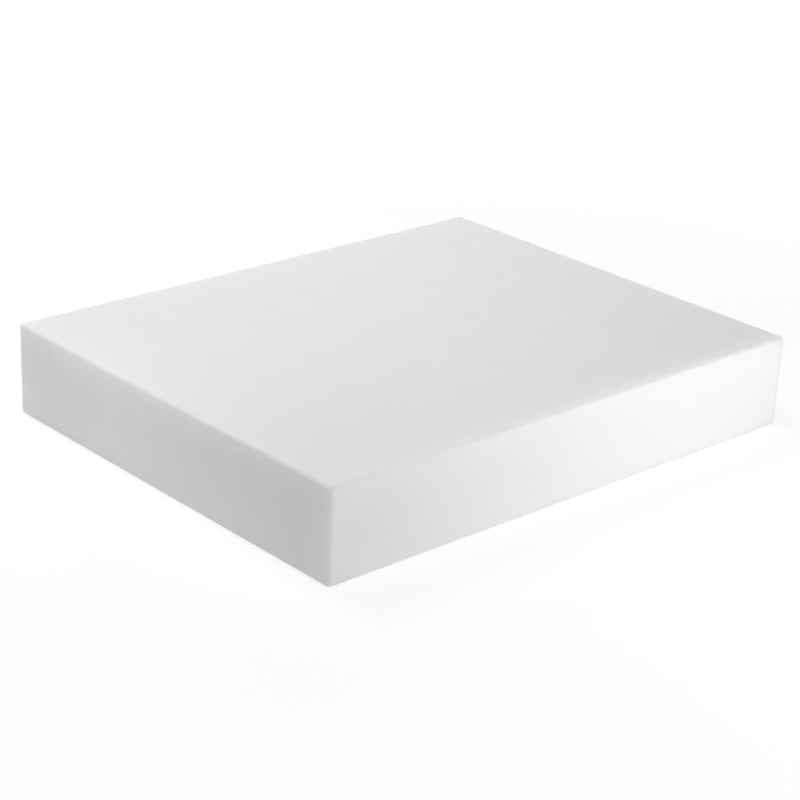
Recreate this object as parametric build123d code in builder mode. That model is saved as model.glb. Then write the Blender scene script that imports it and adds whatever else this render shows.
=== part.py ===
from build123d import *

import os

# Solid polyethylene butcher's cutting board: one pressed slab, planed on both faces and
# milled square on its four sides. It is reversible, so its two working faces are alike.
# The origin is the centre of the face that it rests on, with the length along X, the
# width along Y and +Z up through the thickness. Millimetres.

# ---- driving dimensions ----
BOARD_LENGTH = 500.0  # along X
BOARD_WIDTH = 400.0  # along Y
BOARD_THICKNESS = 80.0  # along Z, from one working face to the other
CORNER_RADIUS = 4.0  # rounding of the four upright corners, seen in plan
RIM_RADIUS = 3.0  # round-over of the long edges round each working face


def make_board():
    """The slab: a rounded rectangle raised to its thickness, with both rims rounded over."""
    with BuildPart() as board:
        with BuildSketch(Plane.XY):
            RectangleRounded(BOARD_LENGTH, BOARD_WIDTH, CORNER_RADIUS)
        extrude(amount=BOARD_THICKNESS)
        working_faces = board.faces().filter_by(Axis.Z)
        fillet(working_faces.edges(), radius=RIM_RADIUS)
    board.part.label = "board"
    return board


os.makedirs("parts", exist_ok=True)
board = make_board()
export_step(board.part, "parts/board.step")
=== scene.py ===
"""Looks of the polyethylene cutting board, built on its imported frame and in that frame's metres."""

import math

import bmesh
import bpy
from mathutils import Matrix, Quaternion, Vector, noise


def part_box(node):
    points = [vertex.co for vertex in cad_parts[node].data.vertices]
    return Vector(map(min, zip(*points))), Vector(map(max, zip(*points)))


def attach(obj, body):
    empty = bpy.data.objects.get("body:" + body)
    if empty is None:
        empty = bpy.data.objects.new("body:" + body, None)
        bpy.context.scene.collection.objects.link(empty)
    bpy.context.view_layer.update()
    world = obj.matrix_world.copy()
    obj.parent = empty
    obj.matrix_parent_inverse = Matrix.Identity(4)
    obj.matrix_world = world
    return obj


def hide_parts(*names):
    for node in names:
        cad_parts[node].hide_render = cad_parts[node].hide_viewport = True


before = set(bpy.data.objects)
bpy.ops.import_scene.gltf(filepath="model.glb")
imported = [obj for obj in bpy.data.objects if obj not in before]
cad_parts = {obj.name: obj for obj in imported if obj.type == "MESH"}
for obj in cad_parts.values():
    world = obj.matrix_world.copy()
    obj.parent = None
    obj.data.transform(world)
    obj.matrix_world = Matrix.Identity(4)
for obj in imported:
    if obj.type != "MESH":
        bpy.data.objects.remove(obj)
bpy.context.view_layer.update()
MM = 0.001

# ---- the slab ----
SLAB_LOW, SLAB_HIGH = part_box("board")
CORNER_RADIUS = 4 * MM  # upright corners, seen in plan
RIM_RADIUS = 3 * MM  # round-over round both working faces
RIM_STEPS = 8  # facets across a round-over
CORNER_STEPS = 8  # facets round an upright corner
GRID_PITCH = 5 * MM  # spacing of the mesh over the flat faces
FACE_WAVE = 0.02 * MM  # how deep the planer left the faces wavy
FACE_WAVELENGTH = 90 * MM  # along the length, and twice that across it
WAVE_MARGIN = 20 * MM  # the waves fade out over this strip next to the rim
TOP_SEED, BOTTOM_SEED = 3.0, 7.0  # so that the two faces aren't wavy alike
RIM_DRIFT = 0.12 * MM  # how far the hand-guided router strayed along an edge
RIM_DRIFT_LENGTH = 45 * MM

# ---- the finish ----
WHITE = (0.905, 0.905, 0.904, 1.0)  # natural polyethylene, no pigment
CLOUD = (0.887, 0.888, 0.885, 1.0)  # where the pressed powder fused a little denser
CLOUD_SIZE, CLOUD_OCTAVES = 28 * MM, 4.0
CLOUD_SHARE, GRAIN_SHARE = 0.4, 0.6  # how far the slow clouds and the fine grain turn WHITE to CLOUD
NOISE_SPAN = (0.35, 0.65)  # most of a noise field lies between these
GLOW_DEPTH = 14 * MM  # how far light travels inside before it comes out
SATIN = (0.63, 0.67)  # roughness, from the most burnished streak to the dullest
STREAK_SIZE, STREAK_OCTAVES = 3 * MM, 3.0
STREAK_STRETCH = 10.0  # the streaks run along the length, with the feed of the planer
REFRACTION = 1.54
GRAIN_SIZE, GRAIN_DEPTH = 0.7 * MM, 0.05 * MM  # pressed powder grain
PEEL_SIZE, PEEL_DEPTH = 6 * MM, 0.04 * MM  # slow orange peel under it
PLANER_PITCH, PLANER_DEPTH = 2.5 * MM, 0.012 * MM  # ripples across both working faces
CUTTER_PITCH, CUTTER_DEPTH = 3.2 * MM, 0.024 * MM  # upright marks on the four milled sides
TOOL_PATCH = 60 * MM  # both kinds of tool mark come and go over this distance
PATCH_STRENGTH = (0.2, 1.0)  # where a tool's marks are faintest, and where they are whole
PLANER_WANDER, CUTTER_WANDER = 50 * MM, 14 * MM  # over these distances the marks sway
WANDER_OCTAVES = 1.0
TOOL_SWAY = 6.0  # radians of phase, from the least to the most
FACE_TILT = (0.55, 0.85)  # upright part of the normal where planer ripples begin and where they are whole

# ---- the camera ----
CAMERA_PLACE = Vector((-1.164, -1.255, 0.731))
CAMERA_AZIMUTH = 42.76  # degrees from +Y towards +X
CAMERA_DIP = 22.65  # degrees below the horizon
CAMERA_ROLL = 2.51  # degrees about its own axis
CAMERA_LENS = 98.87  # millimetres, on a 36 mm sensor

# ---- the stage ----
FLOOR_REACH, FLOOR_CELLS = 12.0, 8
PLAIN_WHITE = (1.0, 1.0, 1.0, 1.0)
SHADOW_REACH = (0.35, 0.75)  # the floor's shadow is all there up to the first, and gone by the second
SHADOW_SHARE = 0.35  # how much of the floor's own shading shows, the rest being plain white
SHADOW_LIFT = 0.26  # what makes the floor white again where no shadow falls
FLOOR_GREY = 0.9  # the light table, as the object sees it
FLOOR_GLOW = (0.163, 0.233)  # light that the table gives off by itself, a painted bounce light: weaker against the slab as a painted contact shade, and whole away from it
CONTACT_REACH = (0 * MM, 20 * MM)  # the gap from the slab over which that glow rises
AMBIENT = 0.128  # strength of the world's even light on the object
# name: degrees from +Y towards +X, degrees above level, metres from the slab's middle, size, watts
SOFTBOXES = {
    "key_right": (165.0, 5.0, 0.74, 0.16, 1.31),
    "back_left": (343.0, 59.7, 1.22, 0.55, 5.43),
    "front_high": (213.0, 69.7, 2.36, 1.43, 15.0),
    "back_right": (46.6, 23.4, 2.24, 0.66, 6.6),
    "near_left": (282.0, 22.2, 0.45, 0.15, 0.07),
}


def stops(low, high, pitch):
    """Evenly spaced values from low to high, at most a pitch apart."""
    count = max(1, math.ceil((high - low) / pitch))
    return [low + (high - low) * i / count for i in range(count + 1)]


# ---------------------------------------------------------------- the slab's mesh


def outline_plan(xs, ys):
    """Feet and outward directions round the slab, anticlockwise: four sides and four corners."""
    sides = [
        ([(x, ys[0]) for x in xs], -90),
        ([(xs[-1], y) for y in ys], 0),
        ([(x, ys[-1]) for x in reversed(xs)], 90),
        ([(xs[0], y) for y in reversed(ys)], 180),
    ]
    plan = []
    for feet, heading in sides:
        angle = math.radians(heading)
        plan += [(foot, (math.cos(angle), math.sin(angle))) for foot in feet]
        for step in range(1, CORNER_STEPS):
            turned = angle + math.pi / 2 * step / CORNER_STEPS
            plan.append((feet[-1], (math.cos(turned), math.sin(turned))))
    return plan


def rim_profile():
    """(inset, height) of each ring from the bottom face, up the side, to the top face."""
    low, high = SLAB_LOW.z, SLAB_HIGH.z
    turns = [math.pi / 2 * i / RIM_STEPS for i in range(RIM_STEPS + 1)]
    curve = [(RIM_RADIUS * (1 - math.sin(t)), RIM_RADIUS * (1 - math.cos(t))) for t in turns]
    rings = [(inset, low + rise) for inset, rise in curve]
    rings += [(0.0, z) for z in stops(low + RIM_RADIUS, high - RIM_RADIUS, GRID_PITCH)[1:-1]]
    rings += [(inset, high - rise) for inset, rise in reversed(curve)]
    return rings


def rim_drift(x, y, z):
    """How far the router strayed, one way or the other, on an edge near this place."""
    level = 1.0 if z > (SLAB_LOW.z + SLAB_HIGH.z) / 2 else -1.0
    place = Vector((x, y, level)) / RIM_DRIFT_LENGTH
    return RIM_DRIFT * noise.noise(place)


def make_ring(bm, plan, inset, z):
    """One closed ring of vertices. On a round-over it moves in by as much as the router strayed."""
    ring = []
    share = inset / RIM_RADIUS
    fade = 4 * share * (1 - share)  # no drift where the round-over meets a side or a face
    for (x, y), (along_x, along_y) in plan:
        drift = abs(rim_drift(x, y, z)) * fade
        reach = CORNER_RADIUS - inset - drift
        ring.append(bm.verts.new((x + reach * along_x, y + reach * along_y, z)))
    return ring


def join_rings(bm, lower, upper):
    """A band of quads between two rings."""
    for i in range(len(lower)):
        j = (i + 1) % len(lower)
        bm.faces.new((lower[i], lower[j], upper[j], upper[i]))


def face_wave(x, y, seed):
    """Depth of the planer's slow waviness below the true face."""
    place = Vector((x / FACE_WAVELENGTH, y / (2 * FACE_WAVELENGTH), seed))
    return FACE_WAVE * (0.5 + 0.5 * noise.noise(place))


def close_face(bm, ring, plan, xs, ys, z, up):
    """Fills a working face: a grid of quads, joined to the ring round it by strips and fans."""
    inward, seed = (-1.0, TOP_SEED) if up else (1.0, BOTTOM_SEED)
    grid = {}
    for x in xs:
        for y in ys:
            edge = min(x - xs[0], xs[-1] - x, y - ys[0], ys[-1] - y)
            blend = min(1.0, edge / WAVE_MARGIN)
            depth = blend * face_wave(x, y, seed)
            grid[x, y] = bm.verts.new((x, y, z + inward * depth))
    for left, right in zip(xs, xs[1:]):
        for near, far in zip(ys, ys[1:]):
            quad = [grid[left, near], grid[right, near], grid[right, far], grid[left, far]]
            bm.faces.new(quad if up else quad[::-1])
    for i in range(len(plan)):
        j = (i + 1) % len(plan)
        foot, next_foot = grid[plan[i][0]], grid[plan[j][0]]
        patch = [ring[i], ring[j], next_foot] if foot is next_foot else [ring[i], ring[j], next_foot, foot]
        bm.faces.new(patch if up else patch[::-1])


def make_slab():
    """The whole slab as one closed mesh."""
    xs = stops(SLAB_LOW.x + CORNER_RADIUS, SLAB_HIGH.x - CORNER_RADIUS, GRID_PITCH)
    ys = stops(SLAB_LOW.y + CORNER_RADIUS, SLAB_HIGH.y - CORNER_RADIUS, GRID_PITCH)
    plan = outline_plan(xs, ys)
    bm = bmesh.new()
    rings = [make_ring(bm, plan, inset, z) for inset, z in rim_profile()]
    for lower, upper in zip(rings, rings[1:]):
        join_rings(bm, lower, upper)
    close_face(bm, rings[0], plan, xs, ys, SLAB_LOW.z, up=False)
    close_face(bm, rings[-1], plan, xs, ys, SLAB_HIGH.z, up=True)
    mesh = bpy.data.meshes.new("board_slab")
    bm.to_mesh(mesh)
    bm.free()
    mesh.shade_smooth()
    slab = bpy.data.objects.new("board_slab", mesh)
    bpy.context.collection.objects.link(slab)
    weighted = slab.modifiers.new("flat_faces_lead", "WEIGHTED_NORMAL")
    weighted.keep_sharp = False
    return slab


# ---------------------------------------------------------------- materials


def new_material(name):
    """An empty node material, its nodes and its output."""
    material = bpy.data.materials.new(name)
    material.use_nodes = True
    nodes = material.node_tree.nodes
    nodes.clear()
    output = nodes.new("ShaderNodeOutputMaterial")
    return material, nodes, material.node_tree.links, output


def feed(links, socket, term):
    """Sets a socket to a plain number, or links another socket to it."""
    if isinstance(term, (int, float)):
        socket.default_value = term
    else:
        links.new(term, socket)


def number(nodes, links, operation, *terms):
    """A math node's result. Each term is a socket or a plain number."""
    node = nodes.new("ShaderNodeMath")
    node.operation = operation
    for socket, term in zip(node.inputs, terms):
        feed(links, socket, term)
    return node.outputs[0]


def spread(nodes, links, value, before, after):
    """Takes a field from one range to another, smoothly and clamped."""
    node = nodes.new("ShaderNodeMapRange")
    node.interpolation_type = "SMOOTHSTEP"
    node.inputs["From Min"].default_value, node.inputs["From Max"].default_value = before
    node.inputs["To Min"].default_value, node.inputs["To Max"].default_value = after
    links.new(value, node.inputs["Value"])
    return node.outputs[0]


def mottle(nodes, links, place, size, octaves=2.0, stretch=1.0):
    """A noise field with features of a size in metres, longer along X when stretched."""
    scaled = nodes.new("ShaderNodeMapping")
    scaled.inputs["Scale"].default_value = (1 / (size * stretch), 1 / size, 1 / size)
    links.new(place, scaled.inputs["Vector"])
    field = nodes.new("ShaderNodeTexNoise")
    field.inputs["Scale"].default_value = 1.0
    field.inputs["Detail"].default_value = octaves
    links.new(scaled.outputs[0], field.inputs["Vector"])
    return field.outputs["Fac"]


def tool_marks(nodes, links, place, along, pitch, depth, sway_size):
    """Height of a tool's ripples, a pitch apart: they sway, and come and go in patches."""
    wander = mottle(nodes, links, place, sway_size, WANDER_OCTAVES)
    sway = number(nodes, links, "MULTIPLY", wander, TOOL_SWAY)
    phase = number(nodes, links, "MULTIPLY_ADD", along, math.tau / pitch, sway)
    wave = number(nodes, links, "SINE", phase)
    patch = spread(nodes, links, mottle(nodes, links, place, TOOL_PATCH), NOISE_SPAN, PATCH_STRENGTH)
    patchy = number(nodes, links, "MULTIPLY", wave, patch)
    return number(nodes, links, "MULTIPLY", patchy, depth)


def axes_of(nodes, links, vector):
    """A vector's parts along X, Y and Z."""
    node = nodes.new("ShaderNodeSeparateXYZ")
    links.new(vector, node.inputs[0])
    return node.outputs["X"], node.outputs["Y"], node.outputs["Z"]


def surface_height(nodes, links, place, facing):
    """Height in metres of everything too fine for the mesh."""
    x, y, _ = axes_of(nodes, links, place)
    tilt = number(nodes, links, "ABSOLUTE", axes_of(nodes, links, facing)[2])
    level = spread(nodes, links, tilt, FACE_TILT, (0.0, 1.0))
    upright = number(nodes, links, "SUBTRACT", 1.0, level)
    around = number(nodes, links, "ADD", x, y)
    planed = tool_marks(nodes, links, place, x, PLANER_PITCH, PLANER_DEPTH, PLANER_WANDER)
    milled = tool_marks(nodes, links, place, around, CUTTER_PITCH, CUTTER_DEPTH, CUTTER_WANDER)
    height = number(nodes, links, "MULTIPLY", planed, level)
    height = number(nodes, links, "MULTIPLY_ADD", milled, upright, height)
    grain = mottle(nodes, links, place, GRAIN_SIZE)
    peel = mottle(nodes, links, place, PEEL_SIZE)
    height = number(nodes, links, "MULTIPLY_ADD", grain, GRAIN_DEPTH, height)
    return number(nodes, links, "MULTIPLY_ADD", peel, PEEL_DEPTH, height)


def polyethylene():
    """White high-density polyethylene: cloudy inside, satin and faintly tool-marked outside."""
    material, nodes, links, output = new_material("polyethylene_white")
    where = nodes.new("ShaderNodeTexCoord")
    place = where.outputs["Object"]
    clouds = mottle(nodes, links, place, CLOUD_SIZE, CLOUD_OCTAVES)
    grains = mottle(nodes, links, place, GRAIN_SIZE)
    cloudy = spread(nodes, links, clouds, NOISE_SPAN, (0.0, CLOUD_SHARE))
    grainy = spread(nodes, links, grains, NOISE_SPAN, (0.0, GRAIN_SHARE))
    tone = nodes.new("ShaderNodeMix")
    tone.data_type = "RGBA"
    tone.inputs["A"].default_value = WHITE
    tone.inputs["B"].default_value = CLOUD
    links.new(number(nodes, links, "ADD", cloudy, grainy), tone.inputs["Factor"])
    streaks = mottle(nodes, links, place, STREAK_SIZE, STREAK_OCTAVES, STREAK_STRETCH)
    bump = nodes.new("ShaderNodeBump")
    bump.inputs["Strength"].default_value = 1.0
    bump.inputs["Distance"].default_value = 1.0  # the height is in metres already
    links.new(surface_height(nodes, links, place, where.outputs["Normal"]), bump.inputs["Height"])
    shader = nodes.new("ShaderNodeBsdfPrincipled")
    shader.inputs["IOR"].default_value = REFRACTION
    shader.inputs["Subsurface Weight"].default_value = 1.0
    shader.inputs["Subsurface Radius"].default_value = (1.0, 1.0, 1.0)
    shader.inputs["Subsurface Scale"].default_value = GLOW_DEPTH
    links.new(tone.outputs["Result"], shader.inputs["Base Color"])
    links.new(spread(nodes, links, streaks, NOISE_SPAN, SATIN), shader.inputs["Roughness"])
    links.new(bump.outputs[0], shader.inputs["Normal"])
    links.new(shader.outputs[0], output.inputs["Surface"])
    return material


def seen_directly(nodes, links):
    """1 for camera, glossy and transmission rays, which see the backdrop, and 0 for the rest."""
    path = nodes.new("ShaderNodeLightPath")
    total = path.outputs["Is Camera Ray"]
    for ray in ("Is Glossy Ray", "Is Transmission Ray"):
        total = number(nodes, links, "MAXIMUM", total, path.outputs[ray])
    return total


def gap_to_slab(nodes, links, place):
    """How far a place on the floor is outside the slab's footprint, whose middle is the origin."""
    gaps = []
    for part, half in zip(axes_of(nodes, links, place), (SLAB_HIGH.x, SLAB_HIGH.y)):
        off_centre = number(nodes, links, "ABSOLUTE", part)
        gaps.append(number(nodes, links, "SUBTRACT", off_centre, half))
    return number(nodes, links, "MAXIMUM", *gaps)


def glowing(nodes, links, grey, glow):
    """A matt surface of one grey that gives off a little light as well."""
    matt = nodes.new("ShaderNodeBsdfDiffuse")
    matt.inputs["Color"].default_value = (grey, grey, grey, 1.0)
    light = nodes.new("ShaderNodeEmission")
    feed(links, light.inputs["Strength"], glow)
    both = nodes.new("ShaderNodeAddShader")
    links.new(matt.outputs[0], both.inputs[0])
    links.new(light.outputs[0], both.inputs[1])
    return both.outputs[0]


def mixed(nodes, links, share, first, second):
    """Two shaders mixed: only the first where the share is 0, only the second where it is 1."""
    mix = nodes.new("ShaderNodeMixShader")
    links.new(share, mix.inputs["Fac"])
    links.new(first, mix.inputs[1])
    links.new(second, mix.inputs[2])
    return mix.outputs[0]


def floor_finish():
    """Pale floor that looks white and still holds the shadow near the object."""
    material, nodes, links, output = new_material("floor_pale")
    place = nodes.new("ShaderNodeTexCoord").outputs["Object"]
    # the floor's glow is dimmed next to the slab: a painted contact shade on the light that reaches the
    # slab's lower sides
    glow = spread(nodes, links, gap_to_slab(nodes, links, place), CONTACT_REACH, FLOOR_GLOW)
    table = glowing(nodes, links, FLOOR_GREY, glow)
    shaded = glowing(nodes, links, 1.0, SHADOW_LIFT)
    white = nodes.new("ShaderNodeEmission")
    distance = nodes.new("ShaderNodeVectorMath")
    distance.operation = "LENGTH"
    links.new(place, distance.inputs[0])
    share = spread(nodes, links, distance.outputs["Value"], SHADOW_REACH, (SHADOW_SHARE, 0.0))
    shown = mixed(nodes, links, share, white.outputs[0], shaded)
    chosen = mixed(nodes, links, seen_directly(nodes, links), table, shown)
    links.new(chosen, output.inputs["Surface"])
    return material


# ---------------------------------------------------------------- stage, light and camera


def make_floor():
    """A large flat floor at the height that the board rests on."""
    bpy.ops.mesh.primitive_grid_add(x_subdivisions=FLOOR_CELLS, y_subdivisions=FLOOR_CELLS,
                                    size=2 * FLOOR_REACH, location=(0, 0, SLAB_LOW.z))
    floor = bpy.context.object
    floor.name = "floor"
    floor.data.materials.append(floor_finish())
    return floor


def make_world():
    """White where it is seen, and a soft even light on everything else."""
    world = bpy.data.worlds.new("studio")
    bpy.context.scene.world = world
    world.use_nodes = True
    nodes, links = world.node_tree.nodes, world.node_tree.links
    nodes.clear()
    output = nodes.new("ShaderNodeOutputWorld")
    seen = nodes.new("ShaderNodeBackground")
    soft = nodes.new("ShaderNodeBackground")
    for sky, strength in ((seen, 1.0), (soft, AMBIENT)):
        sky.inputs["Color"].default_value = PLAIN_WHITE
        sky.inputs["Strength"].default_value = strength
    chosen = mixed(nodes, links, seen_directly(nodes, links), soft.outputs[0], seen.outputs[0])
    links.new(chosen, output.inputs["Surface"])


def make_softbox(name, azimuth, elevation, distance, size, watts):
    """A square soft light that faces the middle of the slab."""
    turn, rise = math.radians(azimuth), math.radians(elevation)
    middle = (SLAB_LOW + SLAB_HIGH) / 2
    away = Vector((math.sin(turn) * math.cos(rise), math.cos(turn) * math.cos(rise), math.sin(rise)))
    light = bpy.data.objects.new(name, bpy.data.lights.new(name, "AREA"))
    bpy.context.collection.objects.link(light)
    light.data.size = size
    light.data.energy = watts
    light.location = middle + away * distance
    light.rotation_mode = "QUATERNION"
    light.rotation_quaternion = (-away).to_track_quat("-Z", "Y")


def make_camera():
    """The photograph's viewpoint: looking down at the front corner, a touch rolled."""
    camera = bpy.data.objects.new("camera", bpy.data.cameras.new("camera"))
    bpy.context.collection.objects.link(camera)
    camera.data.lens = CAMERA_LENS
    azimuth, dip = math.radians(CAMERA_AZIMUTH), math.radians(CAMERA_DIP)
    level = Vector((math.sin(azimuth), math.cos(azimuth), 0.0))
    aim = level * math.cos(dip) - Vector((0, 0, math.sin(dip)))
    roll = Quaternion((0, 0, 1), math.radians(CAMERA_ROLL))
    camera.rotation_mode = "QUATERNION"
    camera.rotation_quaternion = aim.to_track_quat("-Z", "Y") @ roll
    camera.location = CAMERA_PLACE
    bpy.context.scene.camera = camera


slab = make_slab()
slab.data.materials.append(polyethylene())
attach(slab, "root")
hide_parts("board")
make_floor()
make_world()
for softbox, setting in SOFTBOXES.items():
    make_softbox(softbox, *setting)
make_camera()
bpy.context.scene.view_settings.view_transform = "Standard"
